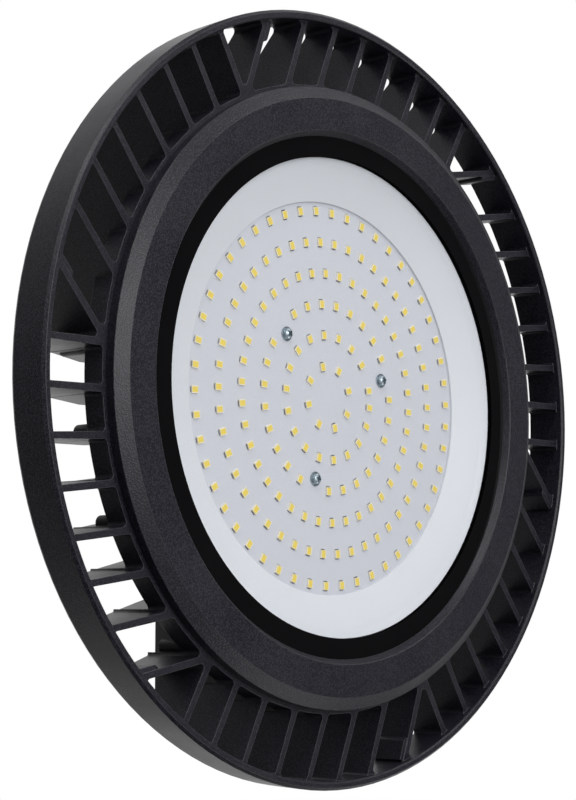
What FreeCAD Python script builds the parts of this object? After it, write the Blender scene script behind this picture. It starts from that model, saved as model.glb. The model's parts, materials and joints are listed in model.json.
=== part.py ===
import FreeCAD, Part
import math
import os

# High bay light, LED face down. Millimetres, +Z up towards the hanging eye.
# The origin is the centre of the bezel's front plane, on which the light can rest.

Vector = FreeCAD.Vector

# ---- clearances -------------------------------------------------------------------
FIT = 0.2                  # radial clearance of screws and loose parts in their seats
SINK = 0.8                 # how far a cast feature runs into the wall that carries it

# ---- LED board --------------------------------------------------------------------
BOARD_R = 84.0
BOARD_T = 1.6
LED_LONG = 3.5             # along the radius
LED_WIDE = 2.8
LED_T = 0.7
LED_PITCH = 12.5           # radius of each ring is a multiple of this
# count and angle of the first LED of each ring, from the centre out
LED_RINGS = ((8, -11.98), (18, 8.08), (27, 1.42), (38, -2.38), (46, 3.78), (50, 2.34))
LED_MOVED = {(1, 0): 9.7, (1, 17): -6.3}       # the two that make room for a screw
BOARD_SCREW_CIRCLE = 33.8
BOARD_SCREW_FIRST = -12.0
BOARD_SCREWS = 3

# ---- reflector, cover, gasket, bezel ----------------------------------------------
REFLECTOR_LAP = 5.3        # how far its inner edge laps over the board
REFLECTOR_IN_R = BOARD_R - REFLECTOR_LAP
REFLECTOR_T = 0.8
REFLECTOR_EDGE = 1.0       # height of its inner edge above the board
CONE_RUN = 8.4             # from the board's edge to where the cone turns into the steeper lip
LIP_R = BOARD_R + CONE_RUN
LIP_Z = 6.2
LIP_RUN = 3.05
WINDOW_R = LIP_R + LIP_RUN     # inner radius of the cover's black border
CAVITY_GAP = 2.05          # hollow round the reflector, outside its lip
CAVITY_R = WINDOW_R + CAVITY_GAP
FLANGE_W = 5.5             # what of the reflector's flange lies on the hub
FLANGE_R = CAVITY_R + FLANGE_W
GASKET_GAP = 0.6
GASKET_IN_R = FLANGE_R + GASKET_GAP
COVER_SEAT = 7.8           # how far the cover reaches over its gasket
COVER_R = GASKET_IN_R + COVER_SEAT
COVER_T = 2.0
COVER_FRONT = 2.7
BEZEL_OPENING = 1.7        # its opening is this much wider than the gasket's
BEZEL_WALL = 6.9           # its face outside the cover's edge
BEZEL_SLOPE = 5.0          # width of its chamfer
BEZEL_IN_R = GASKET_IN_R + BEZEL_OPENING
BEZEL_FOOT_R = GASKET_IN_R
BEZEL_FACE_R = COVER_R + BEZEL_WALL
BEZEL_SHOULDER_R = BEZEL_FACE_R + BEZEL_SLOPE
BEZEL_SHOULDER = 3.0       # height of the chamfer's outer edge
BEZEL_EDGE = 0.35
BEZEL_SCREW_SEAT = 17.0

# ---- hub of the casting -----------------------------------------------------------
HUB_LAND = 1.5             # ring of the hub's front left outside the bezel
HUB_CONE = 11.8            # how far the back cone draws in
HUB_R = BEZEL_SHOULDER_R + HUB_LAND
HUB_FRONT = 7.2            # seat of the bezel, and front edges of the fins
HUB_WALL_END = 16.8        # where the outer wall turns into the back cone
HUB_BACK = 21.2            # flat back of the hub
HUB_BACK_R = HUB_R - HUB_CONE
FLOOR_T = 7.4              # floor that the LED board lies on
BEZEL_SCREW_IN = 7.3       # from the hub's wall in to the bezel's screws
BEZEL_SCREW_CIRCLE = HUB_R - BEZEL_SCREW_IN

# ---- outer rim of the casting -----------------------------------------------------
FIN_REACH = 25.8           # from the hub's wall to the rim's inner wall
RIM_WALL = 3.4
RIM_IN_R = HUB_R + FIN_REACH
RIM_R = RIM_IN_R + RIM_WALL    # outside radius at the front
RIM_DRAFT = 0.5            # the outside radius is this much less at the back
RIM_FRONT = 4.4            # height of the rim's front land above the bezel plane
RIM_H = 18.2
RIM_BACK = RIM_FRONT + RIM_H
RIM_CHAMFER = 1.1

# ---- driver housing ---------------------------------------------------------------
HOUSING_R = 60.0
HOUSING_DRAFT = 1.5
HOUSING_TOP_R = HOUSING_R - HOUSING_DRAFT
HOUSING_WALL = 3.0
HOUSING_TOP = 76.0
LID_GASKET_T = 1.0
LID_T = 3.0
LID_RIM = 12.5             # flat ring of the lid round its dome
LID_DOME_R = HOUSING_TOP_R - LID_RIM
LID_DOME = 3.0             # rise of the lid's middle
LID_SCREW_IN = 8.0
LID_SCREW_CIRCLE = HOUSING_TOP_R - LID_SCREW_IN
LID_SCREWS = 4
POST_R = 4.5
HOUSING_SCREW_IN = 12.0
HOUSING_SCREW_CIRCLE = HOUSING_R - HOUSING_SCREW_IN
HOUSING_SCREWS = 4
LEAD_HOLE_R = 4.0

# ---- fins -------------------------------------------------------------------------
GROUPS = 6
FINS = 8                   # fins in a group, nearly parallel to each other
FIN_RIM_FIRST = -21.4      # offset of the first fin from the group's axis, at the rim
FIN_RIM_PITCH = 17.28
FIN_HUB_FIRST = -19.4      # the same at the hub's wall
FIN_HUB_PITCH = 16.46
FIN_SHIFT_RIM = (0.0, -0.4, 0.0, 1.3, 1.2, 0.0, -0.9, 0.0)     # each fin from its even place
FIN_SHIFT_HUB = (0.0, 0.0, 0.0, 0.5, 0.9, 0.0, -0.9, 0.0)
FIN_T_RIM = 2.4
FIN_T_HUB = 2.8
FIN_CLEAR = 12.0           # from the driver housing to the inner ends of the fins
FIN_INNER_R = HOUSING_R + FIN_CLEAR
FIN_BACK_RISE = 28.0       # degrees, slope of the back edges towards the hub
FIN_BELOW_RIM = 0.8        # the back edges start this far below the rim's back
FIN_BACK_RIM = RIM_BACK - FIN_BELOW_RIM
FIN_TOP = 49.0
GAP_ROUND = 1.6            # rounded corners of the gaps between the fins

# ---- ejector columns --------------------------------------------------------------
COLUMN_R = 2.9
# how far inside the hub's wall, and at what angle, each column of the first group stands
COLUMN_SPOTS = ((5.4, 189.27), (11.6, 174.3), (11.6, 156.8))
COLUMN_TOP = 34.5
PAD_PROUD = 1.9            # pad on one side of each group's last fin, at the rim
PAD_LENGTH = 5.4

# ---- driver ------------------------------------------------------------------------
PCB_GAP = 15.0             # from the board's edge to the housing's outside
PCB_R = HOUSING_R - PCB_GAP
PCB_T = 1.6
STANDOFF_H = 8.0
STANDOFF_FLATS = 5.5
STANDOFF_IN = 6.0
STANDOFF_CIRCLE = PCB_R - STANDOFF_IN
PLATE_W, PLATE_T, PLATE_H = 30.0, 2.0, 20.0     # heat spreader of the switching transistors
PLATE_X = -2.0
PLATE_IN = 12.0            # from the board's edge
CHIP_W, CHIP_T, CHIP_H = 10.0, 4.5, 15.0
CHIP_SPACE = 16.0
LEAD_R = 1.0
LEAD_X = 1.8

# ---- cable gland ---------------------------------------------------------------------
GLAND_IN = 22.5            # from the housing's edge to the gland's middle
GLAND_X = HOUSING_TOP_R - GLAND_IN
GLAND_THREAD_R = 10.0
GLAND_HEX = 24.0           # across flats
GLAND_HEX_H = 6.0
GLAND_NECK_R = 9.0
GLAND_NECK_H = 9.0
GLAND_BORE_R = 6.5
GLAND_CORD_R = 4.5         # opening of the rubber seal
GLAND_PAD_R = 14.5
GLAND_NUT_H = 17.0
GLAND_TAIL = 9.0           # thread below the lid

# ---- hanging eye ---------------------------------------------------------------------
EYE_WIRE_R = 5.0
EYE_RING_R = 17.0          # to the middle of the wire
EYE_THROAT_R = 12.4        # straight land inside the ring, where a hook bears
EYE_COLLAR_R = 10.0
EYE_COLLAR_H = 3.0
EYE_SHANK_R = 5.0
EYE_BOSS_R = 14.0
EYE_BOSS_H = 5.0
EYE_NUT_FLATS = 16.0
EYE_NUT_H = 8.0

# ---- worked out from the above -------------------------------------------------------
FLOOR_FRONT = HUB_BACK - FLOOR_T
BOARD_FRONT = FLOOR_FRONT - BOARD_T
COVER_BACK = COVER_FRONT + COVER_T
LEDGE_Z = COVER_BACK + REFLECTOR_T
GROUP_STEP = 360.0 / GROUPS
HOUSING_FLOOR = HUB_BACK + HOUSING_WALL
LID_UNDER = HOUSING_TOP + LID_GASKET_T
LID_EDGE = LID_UNDER + LID_T
LID_TOP = LID_EDGE + LID_DOME
EYE_SEAT = LID_TOP + EYE_BOSS_H
PCB_UNDER = HOUSING_FLOOR + STANDOFF_H
PCB_TOP = PCB_UNDER + PCB_T


# ---- helpers ---------------------------------------------------------------------------
def outline(steps):
    """Closed wire in the XZ plane. A step is a point (r, z), or an arc (middle, end)."""
    edges = []
    here = steps[0]
    for step in steps[1:] + [steps[0]]:
        if isinstance(step[0], tuple):
            middle, end = step
            points = [Vector(r, 0, z) for r, z in (here, middle, end)]
            edges.append(Part.Arc(*points).toShape())
        else:
            end = step
            edges.append(Part.makeLine(Vector(here[0], 0, here[1]), Vector(end[0], 0, end[1])))
        here = end
    return Part.Wire(edges)


def revolve(steps):
    """Solid of revolution about Z from an outline of (r, z) points."""
    face = Part.Face(outline(steps))
    return face.revolve(Vector(0, 0, 0), Vector(0, 0, 1), 360)


def ring(r_in, r_out, z0, z1):
    return revolve([(r_in, z0), (r_out, z0), (r_out, z1), (r_in, z1)])


def rod(radius, z0, z1, x=0.0, y=0.0):
    return Part.makeCylinder(radius, z1 - z0, Vector(x, y, z0))


def round_edge(r_in, r_out, top, sides):
    """Points of a half-round edge from its outer side over the top, short of the inner side."""
    half = (r_out - r_in) / 2
    turns = [math.pi * i / sides for i in range(sides)]
    return [(r_in + half + half * math.cos(a), top - half + half * math.sin(a)) for a in turns]


def block(size, middle, z0):
    """Box of a given size, centred on middle in plan, standing on z0."""
    corner = Vector(middle[0] - size[0] / 2, middle[1] - size[1] / 2, z0)
    return Part.makeBox(size[0], size[1], size[2], corner)


def hexagon(flats, z0, z1, x=0.0, y=0.0):
    across = flats / math.sqrt(3)
    corners = [polar(across, 60 * i) for i in range(7)]
    wire = Part.makePolygon([Vector(x + px, y + py, z0) for px, py in corners])
    return Part.Face(wire).extrude(Vector(0, 0, z1 - z0))


def polar(radius, degrees):
    angle = math.radians(degrees)
    return radius * math.cos(angle), radius * math.sin(angle)


def turned(shape, degrees):
    copy = shape.copy()
    copy.rotate(Vector(0, 0, 0), Vector(0, 0, 1), degrees)
    return copy


def moved(shape, x, y, z=0.0):
    copy = shape.copy()
    copy.translate(Vector(x, y, z))
    return copy


def around(shape, count, first=0.0):
    """Copies of a shape spaced evenly about Z."""
    return [turned(shape, first + 360.0 * i / count) for i in range(count)]


def pan_screw(thread_r, length, head_r, head_h):
    """Pan head screw with a cross recess. The head's seat is z=0, the shank runs down."""
    crown = head_h * 0.45
    head = revolve([(0, 0), (head_r, 0), (head_r, head_h - crown),
                    (head_r * 0.88, head_h - crown * 0.35), (head_r * 0.62, head_h), (0, head_h)])
    shank = rod(thread_r, -length, SINK / 4)
    screw = head.fuse(shank).removeSplitter()
    slot = block((head_r * 1.1, head_r * 0.28, head_h), (0, 0), head_h * 0.45)
    return screw.cut([slot, turned(slot, 90)])


def fin_back(radius):
    """Height of a fin's back edge at a radius outside the flat top."""
    return FIN_BACK_RIM + (RIM_IN_R - radius) * math.tan(math.radians(FIN_BACK_RISE))


# ---- fins in plan ------------------------------------------------------------------------
def on_circle(radius, offset):
    """Point of the group's left side at an offset across the group's axis."""
    return Vector(-math.sqrt(radius ** 2 - offset ** 2), offset, 0)


def fin_line(number):
    """Hub and rim points of a fin's middle line."""
    hub = on_circle(HUB_R, FIN_HUB_FIRST + FIN_HUB_PITCH * number + FIN_SHIFT_HUB[number])
    rim = on_circle(RIM_IN_R, FIN_RIM_FIRST + FIN_RIM_PITCH * number + FIN_SHIFT_RIM[number])
    return hub, rim


def fin_point(number, radius):
    """Point of a fin's middle line at a radius from the centre."""
    hub, rim = fin_line(number)
    way = (rim - hub).normalize()
    along = hub.dot(way)
    across = hub.dot(hub) - along ** 2
    return hub + way * (math.sqrt(radius ** 2 - across) - along)


def crossing_radius(number):
    """Radius where a fin's line meets the first fin of the next group."""
    hub, rim = fin_line(number)
    other_hub, other_rim = [turned(Part.Vertex(p), -GROUP_STEP).Point for p in fin_line(0)]
    way = rim - hub
    other = other_rim - other_hub
    gap = other_hub - hub
    share = (gap.x * other.y - gap.y * other.x) / (way.x * other.y - way.y * other.x)
    return (hub + way * share).Length


def fin_inner_radius(number):
    """A fin runs inwards to the next group's first fin, or to the circle of the inner ends."""
    past_end = FIN_INNER_R - 2 * SINK
    if number == 0:
        return past_end
    return max(past_end, min(crossing_radius(number), HUB_R))


def fin_plan(number, inner_r):
    """Flat outline of one fin, from a radius to just inside the rim."""
    inner = fin_point(number, inner_r)
    hub, rim = fin_line(number)
    way = (rim - hub).normalize()
    side = Vector(-way.y, way.x, 0)
    outer = rim + way * SINK * 2
    corners = [inner + side * FIN_T_HUB / 2, hub + side * FIN_T_HUB / 2, outer + side * FIN_T_RIM / 2,
               outer - side * FIN_T_RIM / 2, hub - side * FIN_T_HUB / 2, inner - side * FIN_T_HUB / 2]
    return Part.Face(Part.makePolygon(corners + [corners[0]]))


def all_fins(inner_of):
    """Outlines of every fin; inner_of gives the inner radius of a fin by its number."""
    group = [fin_plan(k, inner_of(k)) for k in range(FINS)]
    return [turned(fin, GROUP_STEP * g) for g in range(GROUPS) for fin in group]


def annulus(r_in, r_out):
    outer = Part.Face(Part.Wire(Part.makeCircle(r_out)))
    return outer.cut(Part.Face(Part.Wire(Part.makeCircle(r_in))))


def rounded(gap):
    """The same flat gap with its corners rounded."""
    return gap.makeOffset2D(-GAP_ROUND).makeOffset2D(GAP_ROUND)


def fin_gaps(inner_r, outer_r, inner_of):
    """Flat gaps that the fins leave between two circles."""
    return annulus(inner_r, outer_r).cut(all_fins(inner_of)).Faces


def deep(face, z0, z1):
    return moved(face, 0, 0, z0).extrude(Vector(0, 0, z1 - z0))


# ---- the casting ---------------------------------------------------------------------------
def blank():
    """The casting before its gaps: hub with its cavity, web, and rim with a round back edge."""
    back_r = RIM_R - RIM_DRAFT
    bead = round_edge(RIM_IN_R, back_r, RIM_BACK, 4)
    flat_r = RIM_IN_R - (FIN_TOP - FIN_BACK_RIM) / math.tan(math.radians(FIN_BACK_RISE))
    return revolve([(0, FLOOR_FRONT), (CAVITY_R, FLOOR_FRONT), (CAVITY_R, LEDGE_Z),
                    (FLANGE_R + FIT, LEDGE_Z), (FLANGE_R + FIT, HUB_FRONT), (RIM_IN_R, HUB_FRONT),
                    (RIM_IN_R, RIM_FRONT + RIM_CHAMFER / 2), (RIM_IN_R + RIM_CHAMFER / 2, RIM_FRONT),
                    (RIM_R - RIM_CHAMFER, RIM_FRONT), (RIM_R, RIM_FRONT + RIM_CHAMFER),
                    *bead, (RIM_IN_R, FIN_BACK_RIM), (flat_r, FIN_TOP), (FIN_INNER_R, FIN_TOP),
                    (FIN_INNER_R, HUB_BACK), (0, HUB_BACK)])


def through_gaps():
    """Gaps between hub and rim, open from front to back, with rounded corners."""
    faces = fin_gaps(HUB_R, RIM_IN_R, lambda number: HUB_R - 2 * SINK)
    return [deep(rounded(face), 0, FIN_TOP + 1) for face in faces]


def back_gaps():
    """Gaps between the fins that run on over the hub's back, down to its cone and flat."""
    outer_r = HUB_R + SINK
    cone = (HUB_BACK - HUB_WALL_END) / (HUB_R - HUB_BACK_R)
    core = revolve([(0, 0), (outer_r + 1, 0), (outer_r + 1, HUB_WALL_END - cone * (SINK + 1)),
                    (HUB_BACK_R, HUB_BACK), (0, HUB_BACK)])
    return [deep(face, 1, FIN_TOP + 1).cut(core) for face in fin_gaps(FIN_INNER_R - 1, outer_r, fin_inner_radius)]


def columns():
    """Ejector columns beside some fins of each group, and a pad on the side of its last fin at the rim."""
    group = [rod(COLUMN_R, HUB_BACK - SINK, COLUMN_TOP, *polar(HUB_R - inset, angle))
             for inset, angle in COLUMN_SPOTS]
    hub, rim = fin_line(FINS - 1)
    way = (rim - hub).normalize()
    side = Vector(-way.y, way.x, 0)
    inner = fin_point(FINS - 1, RIM_IN_R - PAD_LENGTH)
    outer = rim + way * SINK
    half = FIN_T_RIM / 2
    corners = [inner - side * half, outer - side * half, outer + side * (half + PAD_PROUD),
               inner + side * (half + PAD_PROUD)]
    pad = Part.Face(Part.makePolygon(corners + [corners[0]]))
    group.append(deep(pad, HUB_FRONT + FIT, FIN_BACK_RIM))
    end_r = half + PAD_PROUD / 2
    middle = inner + side * PAD_PROUD / 2
    group.append(rod(end_r, HUB_FRONT + FIT, FIN_BACK_RIM, middle.x, middle.y))
    return [turned(column, GROUP_STEP * g) for g in range(GROUPS) for column in group]


def bezel_screw_spots():
    """Middle of the gap between the fourth and fifth fins of each group."""
    offset = FIN_HUB_FIRST + FIN_HUB_PITCH * (FINS - 1) / 2
    spot = on_circle(BEZEL_SCREW_CIRCLE, offset)
    return [turned(Part.Vertex(spot), GROUP_STEP * g).Point for g in range(GROUPS)]


def heat_sink():
    body = blank().cut(through_gaps()).cut(back_gaps())
    body = body.fuse(columns()).removeSplitter()
    holes = [rod(LEAD_HOLE_R, FLOOR_FRONT - 1, HUB_BACK + 1)]
    holes += around(rod(BOARD_SCREW.shank_r, FLOOR_FRONT - 1, FLOOR_FRONT + BOARD_SCREW.length,
                        *polar(BOARD_SCREW_CIRCLE, BOARD_SCREW_FIRST)), BOARD_SCREWS)
    holes += around(rod(HOUSING_SCREW.shank_r, HUB_BACK - HOUSING_SCREW.length + HOUSING_WALL,
                        HUB_BACK + 1, HOUSING_SCREW_CIRCLE), HOUSING_SCREWS)
    for spot in bezel_screw_spots():
        holes.append(rod(BEZEL_SCREW.shank_r + FIT, HUB_FRONT - 1, BEZEL_SCREW_SEAT, spot.x, spot.y))
        holes.append(rod(BEZEL_SCREW.head_r + 3 * FIT, BEZEL_SCREW_SEAT, HUB_BACK + 1, spot.x, spot.y))
    return body.cut(holes)


# ---- screws ---------------------------------------------------------------------------------
class ScrewSize:
    """Pan head screw: thread radius, length under the head, and head size."""

    def __init__(self, shank_r, length, head_r, head_h):
        self.shank_r = shank_r
        self.length = length
        self.head_r = head_r
        self.head_h = head_h

    def solid(self):
        return pan_screw(self.shank_r, self.length, self.head_r, self.head_h)


BOARD_SCREW = ScrewSize(1.5, 6.0, 2.85, 2.2)
BEZEL_SCREW = ScrewSize(2.0, 14.0, 3.6, 2.6)
HOUSING_SCREW = ScrewSize(2.0, 8.0, 3.6, 2.6)
LID_SCREW = ScrewSize(2.0, 14.0, 3.6, 2.6)
PCB_SCREW = ScrewSize(1.5, 5.0, 2.85, 2.2)


def board_screws():
    screw = BOARD_SCREW.solid()
    screw.rotate(Vector(0, 0, 0), Vector(1, 0, 0), 180)
    # the head bears on the board, so the shank passes the board first
    screw = moved(screw, *polar(BOARD_SCREW_CIRCLE, BOARD_SCREW_FIRST), BOARD_FRONT)
    return around(screw, BOARD_SCREWS)


def bezel_screws():
    screw = moved(BEZEL_SCREW.solid(), 0, 0, BEZEL_SCREW_SEAT)
    return [moved(screw, spot.x, spot.y) for spot in bezel_screw_spots()]


def housing_screws():
    screw = moved(HOUSING_SCREW.solid(), HOUSING_SCREW_CIRCLE, 0, HOUSING_FLOOR)
    return around(screw, HOUSING_SCREWS)


def lid_screws():
    screw = moved(LID_SCREW.solid(), LID_SCREW_CIRCLE, 0, LID_EDGE)
    return around(screw, LID_SCREWS, 45)


def pcb_screws():
    screw = moved(PCB_SCREW.solid(), STANDOFF_CIRCLE, 0, PCB_TOP)
    return around(screw, HOUSING_SCREWS, 45)


# ---- light source and optics ----------------------------------------------------------------
def led_board():
    disc = rod(BOARD_R, BOARD_FRONT, FLOOR_FRONT)
    holes = around(rod(BOARD_SCREW.shank_r, BOARD_FRONT - 1, FLOOR_FRONT + 1,
                       *polar(BOARD_SCREW_CIRCLE, BOARD_SCREW_FIRST)), BOARD_SCREWS)
    return disc.cut(holes)


def near_screw(radius, degrees):
    """True where an LED would lie under a board screw's head."""
    if abs(radius - BOARD_SCREW_CIRCLE) > LED_LONG + 2 * BOARD_SCREW.head_r:
        return False
    step = 360.0 / BOARD_SCREWS
    away = (degrees - BOARD_SCREW_FIRST + step / 2) % step - step / 2
    return abs(math.radians(away)) * radius < LED_WIDE / 2 + BOARD_SCREW.head_r - 2 and radius > BOARD_SCREW_CIRCLE


def leds():
    package = block((LED_LONG, LED_WIDE, LED_T), (0, 0), BOARD_FRONT - LED_T)
    group = []
    for ring_number, (count, first) in enumerate(LED_RINGS):
        radius = LED_PITCH * (ring_number + 1)
        for i in range(count):
            angle = LED_MOVED.get((ring_number, i), first + 360.0 * i / count)
            if not near_screw(radius, angle):
                group.append(turned(moved(package, radius, 0), angle))
    return group


def reflector():
    inner_top = BOARD_FRONT - REFLECTOR_EDGE
    lip_out = WINDOW_R + FIT
    back = REFLECTOR_T
    return revolve([(REFLECTOR_IN_R, BOARD_FRONT), (REFLECTOR_IN_R, inner_top), (LIP_R, LIP_Z),
                    (lip_out, COVER_BACK), (FLANGE_R, COVER_BACK), (FLANGE_R, COVER_BACK + back),
                    (lip_out + back / 2, COVER_BACK + back), (LIP_R + back, LIP_Z + back),
                    (REFLECTOR_IN_R + back, BOARD_FRONT)])


def lens_cover():
    return rod(COVER_R, COVER_FRONT, COVER_BACK)


def lens_gasket():
    return ring(GASKET_IN_R, COVER_R, COVER_BACK, HUB_FRONT)


def bezel():
    body = revolve([(BEZEL_IN_R + BEZEL_EDGE, 0), (BEZEL_FACE_R, 0), (BEZEL_SHOULDER_R, BEZEL_SHOULDER),
                    (BEZEL_SHOULDER_R, HUB_FRONT), (COVER_R + FIT, HUB_FRONT), (COVER_R + FIT, COVER_FRONT),
                    (BEZEL_FOOT_R, COVER_FRONT), (BEZEL_IN_R, BEZEL_EDGE)])
    tip = BEZEL_SCREW_SEAT - BEZEL_SCREW.length
    return body.cut([rod(BEZEL_SCREW.shank_r, tip, HUB_FRONT + 1, p.x, p.y) for p in bezel_screw_spots()])


# ---- driver housing -----------------------------------------------------------------------------
def driver_housing():
    shell = revolve([(0, HUB_BACK), (HOUSING_R, HUB_BACK), (HOUSING_TOP_R, HOUSING_TOP),
                     (HOUSING_TOP_R - HOUSING_WALL, HOUSING_TOP),
                     (HOUSING_R - HOUSING_WALL, HOUSING_FLOOR), (0, HOUSING_FLOOR)])
    post = rod(POST_R, HOUSING_FLOOR - SINK, LID_UNDER, LID_SCREW_CIRCLE)
    web_length = HOUSING_TOP_R - HOUSING_WALL / 2 - LID_SCREW_CIRCLE
    web = block((web_length, POST_R, HOUSING_TOP - HOUSING_FLOOR + SINK),
                (LID_SCREW_CIRCLE + web_length / 2, 0), HOUSING_FLOOR - SINK)
    body = shell.fuse(around(post.fuse(web), LID_SCREWS, 45)).removeSplitter()
    holes = [rod(LEAD_HOLE_R + 1, HUB_BACK - 1, HOUSING_FLOOR + 1)]
    holes += around(rod(HOUSING_SCREW.shank_r, HUB_BACK - 1, HOUSING_FLOOR + 1, HOUSING_SCREW_CIRCLE),
                    HOUSING_SCREWS)
    holes += around(rod(LID_SCREW.shank_r, LID_EDGE - LID_SCREW.length, LID_UNDER + 1, LID_SCREW_CIRCLE),
                    LID_SCREWS, 45)
    return body.cut(holes)


def lid_gasket():
    return ring(HOUSING_TOP_R - HOUSING_WALL + FIT, HOUSING_TOP_R, HOUSING_TOP, LID_UNDER)


def housing_lid():
    under_dome = LID_TOP - LID_T
    dish = revolve([(0, under_dome), (LID_DOME_R - 2 * LID_T, under_dome), (LID_DOME_R - LID_T, LID_UNDER),
                    (HOUSING_TOP_R, LID_UNDER), (HOUSING_TOP_R, LID_EDGE - 1), (HOUSING_TOP_R - 1, LID_EDGE),
                    (LID_DOME_R, LID_EDGE), (LID_DOME_R - LID_T, LID_TOP), (0, LID_TOP)])
    eye_boss = rod(EYE_BOSS_R, under_dome, EYE_SEAT)
    pad = rod(GLAND_PAD_R, LID_UNDER, LID_TOP, GLAND_X)
    body = dish.fuse([eye_boss, pad]).removeSplitter()
    holes = [rod(EYE_SHANK_R, LID_UNDER - 1, EYE_SEAT + 1), rod(GLAND_THREAD_R, LID_UNDER - 1, LID_TOP + 1, GLAND_X)]
    holes += around(rod(LID_SCREW.shank_r, LID_UNDER - 1, LID_EDGE + 1, LID_SCREW_CIRCLE), LID_SCREWS, 45)
    return body.cut(holes)


# ---- driver ------------------------------------------------------------------------------------
def driver_board():
    disc = rod(PCB_R, PCB_UNDER, PCB_TOP)
    return disc.cut(around(rod(PCB_SCREW.shank_r, PCB_UNDER - 1, PCB_TOP + 1, STANDOFF_CIRCLE), 4, 45))


def standoffs():
    pillar = hexagon(STANDOFF_FLATS, HOUSING_FLOOR, PCB_UNDER)
    bore = rod(PCB_SCREW.shank_r, PCB_TOP - PCB_SCREW.length, PCB_UNDER + 1)
    return around(moved(pillar.cut(bore), STANDOFF_CIRCLE, 0), 4, 45)


def transformer():
    """Ferrite E core standing on the board with its winding around the middle leg."""
    middle = (-8.0, -2.0)
    core = block((28, 12, 24), middle, PCB_TOP + 2)
    windows = [block((5, 14, 16), (middle[0] + s * 8, middle[1]), PCB_TOP + 6) for s in (-1, 1)]
    coil = block((20.5, 22, 15), middle, PCB_TOP + 6.5)
    base = block((26, 22, 2), middle, PCB_TOP)
    leg = block((11, 12, 24), middle, PCB_TOP + 2)
    core = core.cut(windows)
    winding = coil.fuse(base).cut([leg, core])
    posts = [block((3, 3, 5), (middle[0] + s * 8.5, middle[1] + t * 9), PCB_TOP + 1.5)
             for s in (-1, 1) for t in (-1, 1)]
    return core, winding.fuse(posts).cut(core).removeSplitter()


def capacitors():
    cans = []
    for x, y, radius, height in ((-18, 20, 8, 30), (-32, -12, 6.3, 22), (8, 26, 5, 20)):
        vent = PCB_TOP + height
        can = revolve([(0, PCB_TOP), (radius, PCB_TOP), (radius, PCB_TOP + 2), (radius - 0.5, PCB_TOP + 2.8),
                       (radius, PCB_TOP + 3.6), (radius, vent - 0.6), (radius - 0.6, vent), (0, vent)])
        cans.append(moved(can, x, y))
    return cans


def line_choke():
    turns = [(8.0 + 4.0 * c, PCB_TOP + 6.0 + 4.0 * s) for c, s in (polar(1, 45 * i) for i in range(8))]
    cradle = ring(5.5, 10.5, PCB_TOP, PCB_TOP + 3.5)
    return moved(revolve(turns).fuse(cradle).removeSplitter(), 24, 4)


def terminal_block():
    body = block((15, 8, 10), (22, -20), PCB_TOP)
    openings = [block((3.4, 5, 3.4), (22 + s * 5, -23), PCB_TOP + 2) for s in (-1, 0, 1)]
    heads = [rod(1.7, PCB_TOP + 8, PCB_TOP + 11, 22 + s * 5, -20) for s in (-1, 0, 1)]
    return body.cut(openings + heads)


def switch_plate():
    """Aluminium spreader with the switching transistors clamped to it."""
    x, y = PLATE_X, PLATE_IN - PCB_R
    plate = block((PLATE_W, PLATE_T, PLATE_H), (x, y), PCB_TOP)
    chips = [block((CHIP_W, CHIP_T, CHIP_H), (x + s * CHIP_SPACE / 2, y + (PLATE_T + CHIP_T) / 2), PCB_TOP + 2)
             for s in (-1, 1)]
    return plate, chips


def wire_grommet():
    hole_r = LEAD_HOLE_R + 1
    return revolve([(LEAD_HOLE_R - 0.6, HUB_BACK), (hole_r, HUB_BACK), (hole_r, HOUSING_FLOOR),
                    (hole_r + 2, HOUSING_FLOOR), (hole_r + 2, HOUSING_FLOOR + 1.5),
                    (LEAD_HOLE_R - 0.6, HOUSING_FLOOR + 1.5)])


def led_leads():
    """Two insulated leads straight from the LED board to the driver board."""
    return [rod(LEAD_R, FLOOR_FRONT, PCB_UNDER, s * LEAD_X) for s in (-1, 1)]


# ---- cable gland ----------------------------------------------------------------------------------
def gland_body():
    top = LID_TOP + GLAND_HEX_H
    body = hexagon(GLAND_HEX, LID_TOP, top).fuse([rod(GLAND_THREAD_R, LID_TOP - LID_T * 2 - GLAND_TAIL, LID_TOP + 1),
                                                 rod(GLAND_NECK_R, top - 1, top + GLAND_NECK_H)])
    bore = rod(GLAND_BORE_R, LID_TOP - LID_T * 2 - GLAND_TAIL - 1, top + GLAND_NECK_H + 1)
    return moved(body.removeSplitter().cut(bore), GLAND_X, 0)


def gland_seal():
    """Rubber insert, carried on a small collar at the mouth of the body."""
    mouth = LID_TOP + GLAND_HEX_H + GLAND_NECK_H
    seal = revolve([(GLAND_CORD_R, LID_TOP + 2), (GLAND_BORE_R, LID_TOP + 2), (GLAND_BORE_R, mouth),
                    (GLAND_BORE_R + 1.5, mouth), (GLAND_CORD_R + 1.5, mouth + 2.5), (GLAND_CORD_R, mouth + 2.5)])
    return moved(seal, GLAND_X, 0)


def gland_nut():
    base = LID_TOP + GLAND_HEX_H + 1
    mouth = LID_TOP + GLAND_HEX_H + GLAND_NECK_H
    top = base + GLAND_NUT_H
    grip = hexagon(GLAND_HEX, base, base + GLAND_NUT_H * 0.55)
    dome = revolve([(0, base + GLAND_NUT_H * 0.5), (11.5, base + GLAND_NUT_H * 0.5),
                    (10.6, top - 3), (7.5, top), (0, top)])
    hollow = revolve([(0, base - 1), (GLAND_NECK_R, base - 1), (GLAND_NECK_R, mouth), (GLAND_BORE_R + 1.5, mouth),
                      (GLAND_CORD_R + 1.5, mouth + 2.5), (GLAND_CORD_R + 1, mouth + 2.5),
                      (GLAND_CORD_R + 1, top + 1), (0, top + 1)])
    return moved(grip.fuse(dome).removeSplitter().cut(hollow), GLAND_X, 0)


def gland_locknut():
    top = LID_UNDER
    nut = hexagon(GLAND_HEX + 2, top - 5, top).cut(rod(GLAND_THREAD_R, top - 6, top + 1))
    return moved(nut, GLAND_X, 0)


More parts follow.
